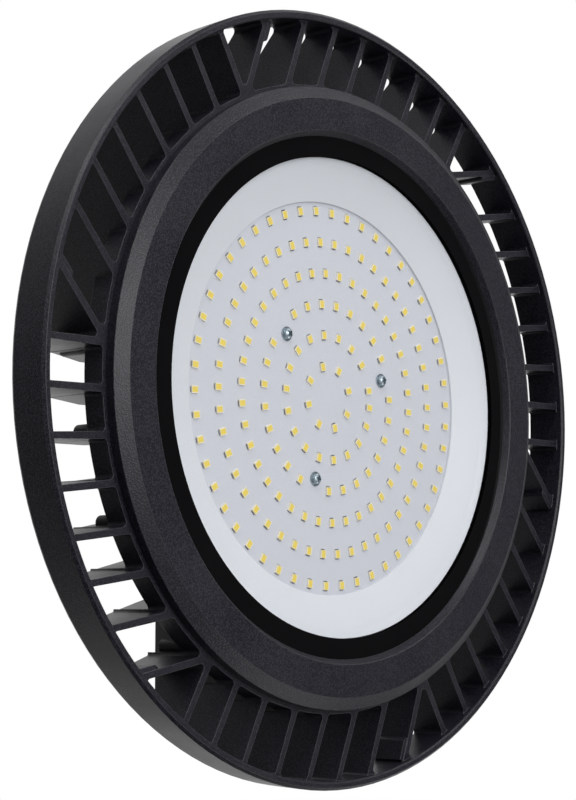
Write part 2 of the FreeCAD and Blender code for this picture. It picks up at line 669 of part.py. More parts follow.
# ---- hanging eye ------------------------------------------------------------------------------------
def eye_bolt():
    collar_top = EYE_SEAT + EYE_COLLAR_H
    middle = collar_top + EYE_RING_R + EYE_WIRE_R - 2
    eye = Part.makeTorus(EYE_RING_R, EYE_WIRE_R, Vector(0, 0, middle), Vector(1, 0, 0))
    neck = Part.makeCone(EYE_COLLAR_R * 0.8, EYE_WIRE_R, EYE_WIRE_R, Vector(0, 0, collar_top - SINK / 2))
    shank_end = LID_TOP - LID_T - 2 - EYE_NUT_H - 2
    parts = [neck, rod(EYE_COLLAR_R, EYE_SEAT, collar_top), rod(EYE_SHANK_R, shank_end, EYE_SEAT + 1)]
    half = 2 * EYE_WIRE_R
    throat = Part.makeCylinder(EYE_THROAT_R, 2 * half, Vector(-half, 0, middle), Vector(1, 0, 0))
    return eye.fuse(parts).removeSplitter().cut(throat)


def eye_washer():
    top = LID_TOP - LID_T
    return ring(EYE_SHANK_R, EYE_COLLAR_R, top - 2, top)


def eye_nut():
    top = LID_TOP - LID_T - 2
    nut = hexagon(EYE_NUT_FLATS, top - EYE_NUT_H, top)
    return nut.cut(rod(EYE_SHANK_R, top - EYE_NUT_H - 1, top + 1))


# ---- writing the files --------------------------------------------------------------------------------
def write(name, shapes):
    """One STEP file for a node; a list of shapes is a group of separate solids."""
    if isinstance(shapes, list):
        solids = [solid for shape in shapes for solid in shape.Solids]
        shape = Part.makeCompound(solids)
    else:
        solids = shapes.Solids
        shape = solids[0] if len(solids) == 1 else Part.makeCompound(solids)
    shape.exportStep("parts/" + name + ".step")
    print(name, len(solids), "solids", round(shape.Volume / 1000, 2), "cm3", shape.isValid())


os.makedirs("parts", exist_ok=True)

transformer_core, transformer_winding = transformer()
spreader, transistors = switch_plate()

NODES = {
    "heat_sink": heat_sink(),
    "led_board": led_board(),
    "leds": leds(),
    "board_screws": board_screws(),
    "reflector": reflector(),
    "lens_cover": lens_cover(),
    "lens_gasket": lens_gasket(),
    "bezel": bezel(),
    "bezel_screws": bezel_screws(),
    "driver_housing": driver_housing(),
    "housing_screws": housing_screws(),
    "lid_gasket": lid_gasket(),
    "housing_lid": housing_lid(),
    "lid_screws": lid_screws(),
    "driver_board": driver_board(),
    "standoffs": standoffs(),
    "driver_board_screws": pcb_screws(),
    "transformer_core": transformer_core,
    "transformer_winding": transformer_winding,
    "capacitors": capacitors(),
    "line_choke": line_choke(),
    "terminal_block": terminal_block(),
    "heat_spreader": spreader,
    "transistors": transistors,
    "wire_grommet": wire_grommet(),
    "led_leads": led_leads(),
    "gland_body": gland_body(),
    "gland_seal": gland_seal(),
    "gland_nut": gland_nut(),
    "gland_locknut": gland_locknut(),
    "eye_bolt": eye_bolt(),
    "eye_washer": eye_washer(),
    "eye_nut": eye_nut(),
}
for node, shape in NODES.items():
    write(node, shape)
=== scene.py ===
"""High bay light: finned casting, LED board behind a flat glass cover, driver housing on the back.

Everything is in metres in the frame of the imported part: +Z up to the hanging eye, LEDs facing down.
"""

import json
import math

import bmesh
import bpy
from mathutils import Matrix, Vector

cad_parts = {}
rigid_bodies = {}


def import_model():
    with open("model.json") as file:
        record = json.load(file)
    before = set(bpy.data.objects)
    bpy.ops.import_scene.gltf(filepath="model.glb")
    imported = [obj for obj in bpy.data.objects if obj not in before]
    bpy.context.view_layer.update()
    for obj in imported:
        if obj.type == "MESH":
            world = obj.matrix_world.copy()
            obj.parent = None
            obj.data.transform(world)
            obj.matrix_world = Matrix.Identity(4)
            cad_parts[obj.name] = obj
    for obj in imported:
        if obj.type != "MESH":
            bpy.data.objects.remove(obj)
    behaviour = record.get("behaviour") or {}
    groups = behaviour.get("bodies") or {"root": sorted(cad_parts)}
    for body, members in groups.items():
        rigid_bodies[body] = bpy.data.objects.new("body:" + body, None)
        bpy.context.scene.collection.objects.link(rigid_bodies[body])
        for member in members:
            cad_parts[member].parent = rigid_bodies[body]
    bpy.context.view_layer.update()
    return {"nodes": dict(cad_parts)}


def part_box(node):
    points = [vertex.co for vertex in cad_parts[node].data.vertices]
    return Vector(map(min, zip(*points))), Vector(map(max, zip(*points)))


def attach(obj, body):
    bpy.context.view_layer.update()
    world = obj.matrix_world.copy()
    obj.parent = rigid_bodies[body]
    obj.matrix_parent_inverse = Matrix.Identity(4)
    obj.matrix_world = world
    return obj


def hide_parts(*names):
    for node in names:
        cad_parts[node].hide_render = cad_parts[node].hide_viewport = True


MM = 0.001

# ---- the view -------------------------------------------------------------------------------
CAMERA_PLACE = (-0.58361, 0.03804, -0.50331)
CAMERA_RIGHT = (0.67827, 0.05281, -0.73291)
CAMERA_UP = (0.0, -0.99741, -0.07187)
CAMERA_LENS = 87.73
SENSOR = 36.0
CLIP = (0.02, 50.0)
FLOOR_DROP = 2.4             # the light hangs this far above the floor
FLOOR_HALF = 1.25
FLOOR_PAINT = ((0.74, 0.74, 0.74), (0.80, 0.80, 0.80))
FLOOR_GLOW = 0.72            # what the floor adds for the view alone, so that it reads as white

# name, place sideways, upwards and towards the view, size, power
LAMPS = (("front_box", (0.95, 0.6, 1.35), (1.2, 1.2), 20.0),
         ("top_box", (-0.1, 1.35, 0.7), (1.1, 0.7), 11.0),
         ("low_box", (1.15, -1.0, 0.2), (0.6, 0.6), 4.0),
         ("side_box", (1.15, 1.15, -0.1), (0.6, 0.6), 5.0))
AIM = (0, 0, 0.01)           # where the lamps point
WALL_DARK = 0.03             # what shines back from behind the view
WALL_RAMP = (0.2, 0.7)       # from dark to white, as the cosine to the view's own direction
FILL = 0.3                   # even light on rough surfaces

# ---- sizes that only the finish needs --------------------------------------------------------
BORDER_IN_R = 95.45 * MM     # clear window of the cover
GLASS_ARRIS = 0.35 * MM      # ground edge of the cover
GLASS_SIDES = 256
EDGE_HIGHLIGHT_SHARE = 0.75              # painted highlight on sharp edges: how strongly the coat is made pale there, in the colour below
EDGE_HIGHLIGHT_COLOUR = (0.085, 0.083, 0.092)
EDGE_AGREE = (0.8, 0.98)     # cosine between rounded and flat normal, from full painted edge highlight to none
EDGE_SAMPLES = 4

# LED package; the shares are of its height or width
PACKAGE_TERMINAL = 0.15 * MM # how far the terminals stand out of the walls
PACKAGE_FRAME = 0.32 * MM    # pale rim round the phosphor
PHOSPHOR_MIDDLE = 0.78       # height of the phosphor block's middle
TERMINAL_WIDE = 0.8
TERMINAL_HIGH = 0.3
SOLDER_REACH = 0.30 * MM
SOLDER_H = 0.08 * MM
SOLDER_WIDE = 0.74

# board screw; the shares are of its head's height or radius
FLANGE_HIGH = 0.22
# from height and radius to height and radius, up the head
HEAD_STEPS = ((0.0, 0.74, 0.55, 0.74), (0.5, 0.74, 0.8, 0.64),
              (0.78, 0.66, 0.93, 0.5), (0.9, 0.56, 1.0, 0.36))
CROSS_LONG = 1.0
CROSS_WIDE = 0.24
TUBE_SIDES = 40


# ---- node helpers ------------------------------------------------------------------------------
class Tree:
    """Short calls to add and join nodes in a node tree."""

    def __init__(self, tree):
        self.tree = tree

    def add(self, kind, settings=None, **inputs):
        node = self.tree.nodes.new(kind)
        for name, value in (settings or {}).items():
            setattr(node, name, value)
        for name, value in inputs.items():
            self.put(node, name.replace("_", " "), value)
        return node

    def put(self, node, name, value):
        socket = node.inputs[name]
        if isinstance(value, bpy.types.NodeSocket):
            self.tree.links.new(value, socket)
        else:
            socket.default_value = value

    def math(self, operation, *values):
        node = self.add("ShaderNodeMath", {"operation": operation})
        for place, value in enumerate(values):
            self.put(node, place, value)
        return node.outputs[0]

    def scale_range(self, value, low, high, to_low, to_high):
        node = self.add("ShaderNodeMapRange", {"clamp": True})
        for name, given in (("Value", value), ("From Min", low), ("From Max", high),
                            ("To Min", to_low), ("To Max", to_high)):
            self.put(node, name, given)
        return node.outputs[0]

    def blend(self, share, first, second):
        node = self.add("ShaderNodeMix", {"data_type": "RGBA"})
        self.put(node, 0, share)
        self.put(node, 6, first)
        self.put(node, 7, second)
        return node.outputs[2]


def rgba(red, green, blue):
    return (red, green, blue, 1.0)


def new_group(name, inputs, outputs):
    """Empty shader group with named float sockets."""
    group = bpy.data.node_groups.new(name, "ShaderNodeTree")
    for label, value in inputs.items():
        socket = group.interface.new_socket(label, in_out="INPUT", socket_type="NodeSocketFloat")
        socket.default_value = value
    for label, kind in outputs.items():
        group.interface.new_socket(label, in_out="OUTPUT", socket_type=kind)
    tree = Tree(group)
    return group, tree, tree.add("NodeGroupInput"), tree.add("NodeGroupOutput")


def grain_group():
    """Powder coat or moulded grain: a height, and a mask of the grains' tops, at a size in mm."""
    group, tree, given, result = new_group(
        "grain", {"Grain mm": 0.7, "Sharpness": 0.5},
        {"Height": "NodeSocketFloat", "Tops": "NodeSocketFloat", "Cloud": "NodeSocketFloat"})
    place = tree.add("ShaderNodeTexCoord").outputs["Object"]
    scale = tree.math("DIVIDE", 1.0 / MM, given.outputs["Grain mm"])
    fine = tree.add("ShaderNodeTexNoise", {"noise_dimensions": "3D"}, Vector=place, Scale=scale, Detail=2.0,
                    Roughness=0.55)
    cells = tree.add("ShaderNodeTexVoronoi", {"feature": "SMOOTH_F1"}, Vector=place, Scale=scale,
                     Smoothness=0.6)
    bumps = tree.scale_range(cells.outputs["Distance"], 0.1, 0.7, 1.0, 0.0)
    share = given.outputs["Sharpness"]
    mixed = tree.math("ADD", tree.math("MULTIPLY", bumps, share), tree.math("MULTIPLY", fine.outputs[0], 0.6))
    cloud = tree.add("ShaderNodeTexNoise", Vector=place, Scale=26.0, Detail=3.0, Roughness=0.5)
    tree.put(result, "Height", mixed)
    tree.put(result, "Tops", tree.scale_range(mixed, 0.45, 0.85, 0.0, 1.0))
    tree.put(result, "Cloud", cloud.outputs[0])
    return group


def dust_group():
    """Faint dust: a slow mask broken up by a finer one."""
    group, tree, given, result = new_group(
        "dust", {"Amount": 0.2, "Patch mm": 30.0}, {"Mask": "NodeSocketFloat"})
    place = tree.add("ShaderNodeTexCoord").outputs["Object"]
    scale = tree.math("DIVIDE", 1.0 / MM, given.outputs["Patch mm"])
    slow = tree.add("ShaderNodeTexNoise", Vector=place, Scale=scale, Detail=4.0, Roughness=0.6)
    specks = tree.add("ShaderNodeTexNoise", Vector=place, Scale=900.0, Detail=1.0)
    patch = tree.scale_range(slow.outputs[0], 0.45, 0.75, 0.0, 1.0)
    broken = tree.math("MULTIPLY", patch, tree.scale_range(specks.outputs[0], 0.4, 0.7, 0.3, 1.0))
    tree.put(result, "Mask", tree.math("MULTIPLY", broken, given.outputs["Amount"]))
    return group


# ---- materials -----------------------------------------------------------------------------------
def new_material(name):
    material = bpy.data.materials.new(name)
    material.use_nodes = True
    material.node_tree.nodes.clear()
    tree = Tree(material.node_tree)
    return material, tree, tree.add("ShaderNodeOutputMaterial")


def grained(name, dark, light, grain_mm, sharp=0.5, rough=(0.4, 0.55), bump=0.3, depth_mm=0.05, metal=0.0,
            dust=0.15, dust_colour=(0.30, 0.29, 0.28), shine=0.5, edge_mm=0.0):
    """Solid finish with grain: colour from dark to light on the grains' tops, and a bump of that depth. With
    edge_mm, edges are rounded in shading and given a painted highlight.
    """
    material, tree, output = new_material(name)
    grain = tree.add("ShaderNodeGroup", {"node_tree": GROUPS["grain"]})
    tree.put(grain, "Grain mm", grain_mm)
    tree.put(grain, "Sharpness", sharp)
    dusty = tree.add("ShaderNodeGroup", {"node_tree": GROUPS["dust"]})
    tree.put(dusty, "Amount", dust)
    base = tree.blend(grain.outputs["Tops"], rgba(*dark), rgba(*light))
    base = tree.blend(dusty.outputs["Mask"], base, rgba(*dust_colour))
    roughness = tree.scale_range(grain.outputs["Cloud"], 0.3, 0.7, *rough)
    relief = tree.add("ShaderNodeBump", Strength=bump, Distance=depth_mm * MM, Height=grain.outputs["Height"])
    if edge_mm:
        soft_edge = tree.add("ShaderNodeBevel", {"samples": EDGE_SAMPLES}, Radius=edge_mm * MM)
        tree.put(relief, "Normal", soft_edge.outputs[0])
        # painted highlight along sharp edges: the colour goes paler where the rounded normal parts from the
        # flat one
        agree = tree.add("ShaderNodeVectorMath", {"operation": "DOT_PRODUCT"})
        tree.put(agree, 0, soft_edge.outputs[0])
        tree.put(agree, 1, tree.add("ShaderNodeNewGeometry").outputs["Normal"])
        painted_edge_highlight = tree.scale_range(agree.outputs["Value"], *EDGE_AGREE, EDGE_HIGHLIGHT_SHARE, 0.0)
        base = tree.blend(painted_edge_highlight, base, rgba(*EDGE_HIGHLIGHT_COLOUR))
    shader = tree.add("ShaderNodeBsdfPrincipled", Base_Color=base, Roughness=roughness, Metallic=metal)
    tree.put(shader, "Normal", relief.outputs[0])
    shader.inputs["Specular IOR Level"].default_value = shine
    tree.put(output, "Surface", shader.outputs[0])
    return material


def clear_glass(name):
    """Thin clear pane: lets light through straight, and shines more the flatter it is seen."""
    material, tree, output = new_material(name)
    place = tree.add("ShaderNodeTexCoord").outputs["Object"]
    smear = tree.add("ShaderNodeTexNoise", Vector=place, Scale=40.0, Detail=3.0)
    roughness = tree.scale_range(smear.outputs[0], 0.4, 0.7, 0.01, 0.05)
    clear = tree.add("ShaderNodeBsdfTransparent", Color=rgba(0.985, 0.99, 0.992))
    shine = tree.add("ShaderNodeBsdfAnisotropic", Roughness=roughness)
    both = tree.add("ShaderNodeMixShader")
    slant = tree.add("ShaderNodeLayerWeight", Blend=0.5).outputs["Facing"]
    shine_share = tree.scale_range(tree.math("POWER", slant, 5.0), 0.0, 1.0, 0.035, 1.0)
    tree.put(both, 0, shine_share)
    tree.put(both, 1, clear.outputs[0])
    tree.put(both, 2, shine.outputs[0])
    tree.put(output, "Surface", both.outputs[0])
    return material


def printed_black(name):
    """Black print seen through the glass: deep black under a smooth coat."""
    material, tree, output = new_material(name)
    place = tree.add("ShaderNodeTexCoord").outputs["Object"]
    haze = tree.add("ShaderNodeTexNoise", Vector=place, Scale=30.0, Detail=3.0)
    colour = tree.blend(haze.outputs[0], rgba(0.0025, 0.0025, 0.003), rgba(0.005, 0.0045, 0.005))
    roughness = tree.scale_range(haze.outputs[0], 0.35, 0.7, 0.03, 0.08)
    shader = tree.add("ShaderNodeBsdfPrincipled", Base_Color=colour, Roughness=roughness)
    tree.put(output, "Surface", shader.outputs[0])
    return material


GROUPS = {"grain": grain_group(), "dust": dust_group()}


def make_materials():
    made = {
        "cast_coat": grained("cast_coat", (0.0045, 0.0042, 0.0085), (0.024, 0.0228, 0.034), 0.62, sharp=0.6,
                             rough=(0.36, 0.46), bump=0.75, depth_mm=0.07, dust=0.02, shine=0.38,
                             edge_mm=0.45),
        "board_mask": grained("board_mask", (0.632, 0.640, 0.692), (0.660, 0.666, 0.716), 1.2, sharp=0.3,
                              rough=(0.35, 0.5), bump=0.12, depth_mm=0.01, dust=0.04),
        "reflector_white": grained("reflector_white", (0.72, 0.735, 0.775), (0.76, 0.772, 0.81), 2.0,
                                   sharp=0.2, rough=(0.3, 0.36), bump=0.03, depth_mm=0.005, dust=0.03),
        "gasket_rubber": grained("gasket_rubber", (0.02, 0.02, 0.02), (0.035, 0.035, 0.036), 0.4,
                                 rough=(0.6, 0.75), bump=0.2),
        "zinc_plate": grained("zinc_plate", (0.50, 0.52, 0.54), (0.66, 0.67, 0.68), 0.5, sharp=0.3,
                              rough=(0.22, 0.38), bump=0.15, depth_mm=0.01, metal=1.0, dust=0.05),
        "zinc_dull": grained("zinc_dull", (0.42, 0.49, 0.54), (0.58, 0.64, 0.68), 0.5, sharp=0.3,
                             rough=(0.26, 0.36), bump=0.15, depth_mm=0.01, metal=0.85, dust=0.0),
        "nylon_black": grained("nylon_black", (0.018, 0.018, 0.019), (0.03, 0.03, 0.031), 0.35,
                               rough=(0.42, 0.55), bump=0.25, depth_mm=0.03),
        "package_wall": grained("package_wall", (0.84, 0.79, 0.66), (0.90, 0.86, 0.74), 0.5,
                                rough=(0.5, 0.6), bump=0.05, depth_mm=0.01, dust=0.0),
        "phosphor": grained("phosphor", (0.86, 0.66, 0.13), (0.92, 0.73, 0.18), 0.3, sharp=0.3,
                            rough=(0.35, 0.5), bump=0.1, depth_mm=0.01, dust=0.0),
        "solder": grained("solder", (0.42, 0.42, 0.44), (0.62, 0.62, 0.64), 0.3, rough=(0.25, 0.4),
                          bump=0.2, depth_mm=0.01, metal=1.0, dust=0.0),
        "board_green": grained("board_green", (0.012, 0.08, 0.03), (0.02, 0.12, 0.045), 1.0,
                               rough=(0.3, 0.45), bump=0.1),
        "brass_turned": grained("brass_turned", (0.5, 0.36, 0.14), (0.66, 0.48, 0.2), 0.4, rough=(0.25, 0.4),
                                bump=0.1, metal=1.0),
        "ferrite": grained("ferrite", (0.035, 0.035, 0.038), (0.07, 0.07, 0.072), 0.6, rough=(0.5, 0.7)),
        "winding_tape": grained("winding_tape", (0.55, 0.36, 0.04), (0.68, 0.46, 0.07), 0.8,
                                rough=(0.25, 0.4), bump=0.1),
        "can_sleeve": grained("can_sleeve", (0.012, 0.014, 0.03), (0.02, 0.024, 0.05), 0.8,
                              rough=(0.2, 0.3), bump=0.08),
        "copper_wire": grained("copper_wire", (0.45, 0.16, 0.06), (0.62, 0.25, 0.1), 0.9, rough=(0.2, 0.35),
                               bump=0.5, depth_mm=0.2, metal=1.0),
        "block_green": grained("block_green", (0.03, 0.18, 0.06), (0.05, 0.24, 0.09), 0.5, rough=(0.3, 0.45)),
        "plate_plain": grained("plate_plain", (0.55, 0.55, 0.56), (0.68, 0.68, 0.69), 0.6, rough=(0.3, 0.45),
                               bump=0.1, metal=1.0),
        "chip_epoxy": grained("chip_epoxy", (0.014, 0.014, 0.015), (0.025, 0.025, 0.026), 0.3,
                              rough=(0.5, 0.65)),
        "lead_red": grained("lead_red", (0.30, 0.02, 0.015), (0.42, 0.035, 0.025), 0.5, rough=(0.4, 0.5),
                            bump=0.1),
        "cover_clear": clear_glass("cover_clear"),
        "cover_print": printed_black("cover_print"),
    }
    return made


NODE_FINISH = {
    "cast_coat": ("heat_sink", "bezel", "driver_housing", "housing_lid"),
    "board_mask": ("led_board",),
    "reflector_white": ("reflector",),
    "gasket_rubber": ("lens_gasket", "lid_gasket", "gland_seal", "wire_grommet"),
    "zinc_plate": ("board_screws", "bezel_screws", "housing_screws", "lid_screws", "driver_board_screws",
                   "eye_bolt", "eye_washer", "eye_nut"),
    "nylon_black": ("gland_body", "gland_nut", "gland_locknut"),
    "phosphor": ("leds",),
    "board_green": ("driver_board",),
    "brass_turned": ("standoffs",),
    "ferrite": ("transformer_core",),
    "winding_tape": ("transformer_winding",),
    "can_sleeve": ("capacitors",),
    "copper_wire": ("line_choke",),
    "block_green": ("terminal_block",),
    "plate_plain": ("heat_spreader",),
    "chip_epoxy": ("transistors",),
    "lead_red": ("led_leads",),
    "cover_clear": ("lens_cover",),
}


def dress_nodes(nodes, finishes):
    for finish, names in NODE_FINISH.items():
        for name in names:
            slots = nodes[name].data.materials
            slots.clear()
            slots.append(finishes[finish])


# ---- mesh helpers ----------------------------------------------------------------------------------
def new_object(name, mesh):
    made = bpy.data.objects.new(name, mesh)
    bpy.context.scene.collection.objects.link(made)
    return made


def lathe(profile, sides, finish_of=None):
    """Closed solid of revolution about Z from (r, z) points, as a bmesh."""
    shape = bmesh.new()
    rings = []
    for radius, height in profile:
        if radius < 1e-9:
            rings.append([shape.verts.new((0, 0, height))])
            continue
        turn = 2 * math.pi / sides
        rings.append([shape.verts.new((radius * math.cos(i * turn), radius * math.sin(i * turn), height))
                      for i in range(sides)])
    for step, (lower, upper) in enumerate(zip(rings, rings[1:] + rings[:1])):
        if len(lower) == 1 and len(upper) == 1:
            continue
        for i in range(sides):
            j = (i + 1) % sides
            corners = [lower[i % len(lower)], lower[j % len(lower)],
                       upper[j % len(upper)], upper[i % len(upper)]]
            face = shape.faces.new(list(dict.fromkeys(corners)))
            face.material_index = finish_of[step] if finish_of else 0
            face.smooth = True
    bmesh.ops.recalc_face_normals(shape, faces=shape.faces)
    return shape


def to_object(name, shape, finishes):
    mesh = bpy.data.meshes.new(name)
    shape.to_mesh(mesh)
    shape.free()
    for finish in finishes:
        mesh.materials.append(finish)
    return new_object(name, mesh)


def island_middles(node):
    """Middle of each separate solid of a CAD node."""
    shape = bmesh.new()
    shape.from_mesh(node.data)
    bmesh.ops.remove_doubles(shape, verts=shape.verts, dist=1e-6)
    middles, seen = [], set()
    for first in shape.verts:
        if first in seen:
            continue
        island, waiting = [], [first]
        seen.add(first)
        while waiting:
            vertex = waiting.pop()
            island.append(vertex.co)
            for edge in vertex.link_edges:
                other = edge.other_vert(vertex)
                if other not in seen:
                    seen.add(other)
                    waiting.append(other)
        lows = [min(p[axis] for p in island) for axis in range(3)]
        highs = [max(p[axis] for p in island) for axis in range(3)]
        middles.append(Vector([(a + b) / 2 for a, b in zip(lows, highs)]))
    shape.free()
    return middles


def points_object(name, points):
    mesh = bpy.data.meshes.new(name)
    mesh.from_pydata([tuple(p) for p in points], [], [])
    return new_object(name, mesh)


def apply_nodes(base, group, values, name):
    """Runs a geometry node tree on an object with named inputs, and returns the result as a plain object."""
    modifier = base.modifiers.new("build", "NODES")
    modifier.node_group = group
    for item in group.interface.items_tree:
        if item.item_type == "SOCKET" and item.in_out == "INPUT" and item.name in values:
            modifier[item.identifier] = values[item.name]
    base.update_tag()
    graph = bpy.context.evaluated_depsgraph_get()
    mesh = bpy.data.meshes.new_from_object(base.evaluated_get(graph))
    mesh.name = name
    base.modifiers.remove(modifier)
    bpy.data.objects.remove(base)
    return new_object(name, mesh)


# ---- repeated pieces ---------------------------------------------------------------------------------
def geometry_group(name, inputs):
    group = bpy.data.node_groups.new(name, "GeometryNodeTree")
    group.interface.new_socket("Geometry", in_out="INPUT", socket_type="NodeSocketGeometry")
    for label, value in inputs.items():
        socket = group.interface.new_socket(label, in_out="INPUT", socket_type="NodeSocketFloat")
        socket.default_value = value
    group.interface.new_socket("Geometry", in_out="OUTPUT", socket_type="NodeSocketGeometry")
    tree = Tree(group)
    return group, tree, tree.add("NodeGroupInput"), tree.add("NodeGroupOutput")


def marked(tree, shape, number):
    """Shape whose faces carry the number of their finish."""
    return tree.add("GeometryNodeStoreNamedAttribute", {"data_type": "INT", "domain": "FACE"}, Geometry=shape,
                    Name="finish", Value=number).outputs[0]


def real_with_finishes(tree, copies, finishes):
    """Copies made real, each face given the finish whose number it carries."""
    shape = tree.add("GeometryNodeRealizeInstances", Geometry=copies).outputs[0]
    carried = tree.add("GeometryNodeInputNamedAttribute", {"data_type": "INT"}, Name="finish").outputs[0]
    for number, finish in enumerate(finishes):
        picked = tree.add("FunctionNodeCompare", {"data_type": "INT", "operation": "EQUAL"})
        tree.tree.links.new(carried, picked.inputs[2])
        picked.inputs[3].default_value = number
        shape = tree.add("GeometryNodeSetMaterial", Geometry=shape, Selection=picked.outputs[0],
                         Material=finish).outputs[0]
    return shape


def finished_block(tree, size, place, number=0):
    """Block of a size at a place inside a geometry tree, marked with the number of its finish."""
    extent = tree.add("ShaderNodeCombineXYZ", X=size[0], Y=size[1], Z=size[2]).outputs[0]
    shift = tree.add("ShaderNodeCombineXYZ", X=place[0], Y=place[1], Z=place[2]).outputs[0]
    cube = tree.add("GeometryNodeMeshCube", Size=extent)
    shifted = tree.add("GeometryNodeTransform", Geometry=cube.outputs["Mesh"], Translation=shift)
    return marked(tree, shifted.outputs[0], number)


def package_tree(finishes):
    """LED package on each point, its long side along the radius: walls, phosphor, terminals, solder."""
    group, tree, given, result = geometry_group("led_packages", {
        "Length": 3.5 * MM, "Width": 2.8 * MM, "Height": 0.7 * MM, "Terminal": PACKAGE_TERMINAL,
        "Frame": PACKAGE_FRAME, "Solder reach": SOLDER_REACH, "Solder height": SOLDER_H})
    size = given.outputs
    body_length = tree.math("SUBTRACT", size["Length"], tree.math("MULTIPLY", size["Terminal"], 2.0))
    half_height = tree.math("MULTIPLY", size["Height"], 0.5)
    middle = tree.math("MULTIPLY", half_height, -1.0)
    body = finished_block(tree, (body_length, size["Width"], size["Height"]), (0.0, 0.0, middle))
    margin = tree.math("MULTIPLY", size["Frame"], 2.0)
    lens = finished_block(
        tree, (tree.math("SUBTRACT", size["Length"], margin), tree.math("SUBTRACT", size["Width"], margin),
               half_height),
        (0.0, 0.0, tree.math("MULTIPLY", size["Height"], -PHOSPHOR_MIDDLE)), 1)
    terminal = finished_block(
        tree, (size["Length"], tree.math("MULTIPLY", size["Width"], TERMINAL_WIDE),
               tree.math("MULTIPLY", size["Height"], TERMINAL_HIGH)),
        (0.0, 0.0, tree.math("MULTIPLY", size["Height"], -TERMINAL_HIGH / 2)), 2)
    solder = finished_block(
        tree, (tree.math("ADD", size["Length"], tree.math("MULTIPLY", size["Solder reach"], 2.0)),
               tree.math("MULTIPLY", size["Width"], SOLDER_WIDE), size["Solder height"]),
        (0.0, 0.0, tree.math("MULTIPLY", size["Solder height"], -0.5)), 2)
    joined = tree.add("GeometryNodeJoinGeometry")
    for part in (body, lens, terminal, solder):
        tree.tree.links.new(part, joined.inputs[0])
    outwards = tree.add("FunctionNodeAlignRotationToVector", {"axis": "X", "pivot_axis": "Z"},
                        Vector=tree.add("GeometryNodeInputPosition").outputs[0])
    copies = tree.add("GeometryNodeInstanceOnPoints", Points=size["Geometry"], Instance=joined.outputs[0],
                      Rotation=outwards.outputs[0])
    tree.put(result, "Geometry", real_with_finishes(
        tree, copies.outputs[0], (finishes["package_wall"], finishes["phosphor"], finishes["solder"])))
    return group


def led_packages(nodes, finishes):
    low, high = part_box("leds")
    height = high[2] - low[2]
    spots = [Vector((p.x, p.y, high[2])) for p in island_middles(nodes["leds"])]
    made = apply_nodes(points_object("led_spots", spots), package_tree(finishes), {"Height": height},
                       "led_packages")
    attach(made, "root")
    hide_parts("leds")
    return made


def tube(tree, radius, depth, place, top_radius=None):
    """Cylinder or cone along the height in a geometry tree."""
    cone = tree.add("GeometryNodeMeshCone", Vertices=TUBE_SIDES)
    top = radius if top_radius is None else top_radius
    for name, value in (("Radius Bottom", radius), ("Radius Top", top), ("Depth", depth)):
        tree.put(cone, name, value)
    shifted = tree.add("GeometryNodeTransform", Geometry=cone.outputs["Mesh"],
                       Translation=tree.add("ShaderNodeCombineXYZ", Z=place).outputs[0])
    return marked(tree, shifted.outputs[0], 0)


def board_screw_tree(finishes):
    """Pan head with a washer flange and a cross recess, its seat at each point, head downwards."""
    group, tree, given, result = geometry_group("board_screws", {
        "Head radius": 2.85 * MM, "Head height": 2.2 * MM, "Shank radius": 1.5 * MM, "Length": 6.0 * MM})
    size = given.outputs
    head, height = size["Head radius"], size["Head height"]
    flange_h = tree.math("MULTIPLY", height, FLANGE_HIGH)
    flange = tube(tree, head, flange_h, tree.math("MULTIPLY", flange_h, -1.0))
    rings = [flange]
    for low, wide, high, narrow in HEAD_STEPS:
        depth = tree.math("MULTIPLY", height, high - low)
        tip, root = tree.math("MULTIPLY", head, narrow), tree.math("MULTIPLY", head, wide)
        rings.append(tube(tree, tip, depth, tree.math("MULTIPLY", height, -high), top_radius=root))
    joined = tree.add("GeometryNodeJoinGeometry")
    for ring in rings:
        tree.tree.links.new(ring, joined.inputs[0])
    bars = tree.add("GeometryNodeJoinGeometry")
    for long, wide in ((CROSS_LONG, CROSS_WIDE), (CROSS_WIDE, CROSS_LONG)):
        extent = (tree.math("MULTIPLY", head, long), tree.math("MULTIPLY", head, wide), height)
        bar = finished_block(tree, extent, (0.0, 0.0, tree.math("MULTIPLY", height, -1.0)))
        tree.tree.links.new(bar, bars.inputs[0])
    cut = tree.add("GeometryNodeMeshBoolean", {"operation": "DIFFERENCE", "solver": "EXACT"})
    cut.inputs["Self Intersection"].default_value = True
    tree.tree.links.new(joined.outputs[0], cut.inputs["Mesh 1"])
    tree.tree.links.new(bars.outputs[0], cut.inputs["Mesh 2"])
    shank = tube(tree, size["Shank radius"], size["Length"], 0.0)
    whole = tree.add("GeometryNodeJoinGeometry")
    tree.tree.links.new(cut.outputs[0], whole.inputs[0])
    tree.tree.links.new(shank, whole.inputs[0])
    turn = tree.add("FunctionNodeAlignRotationToVector", {"axis": "X", "pivot_axis": "Z"},
                    Vector=tree.add("GeometryNodeInputPosition").outputs[0])
    copies = tree.add("GeometryNodeInstanceOnPoints", Points=size["Geometry"], Instance=whole.outputs[0],
                      Rotation=turn.outputs[0])
    tree.put(result, "Geometry", real_with_finishes(tree, copies.outputs[0], (finishes["zinc_dull"],)))
    return group


def board_screws(nodes, finishes):
    low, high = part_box("board_screws")
    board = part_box("led_board")[0][2]
    spots = [Vector((p.x, p.y, board)) for p in island_middles(nodes["board_screws"])]
    made = apply_nodes(points_object("screw_spots", spots), board_screw_tree(finishes),
                       {"Head height": board - low[2], "Length": high[2] - board}, "board_screw_set")
    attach(made, "root")
    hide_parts("board_screws")
    return made


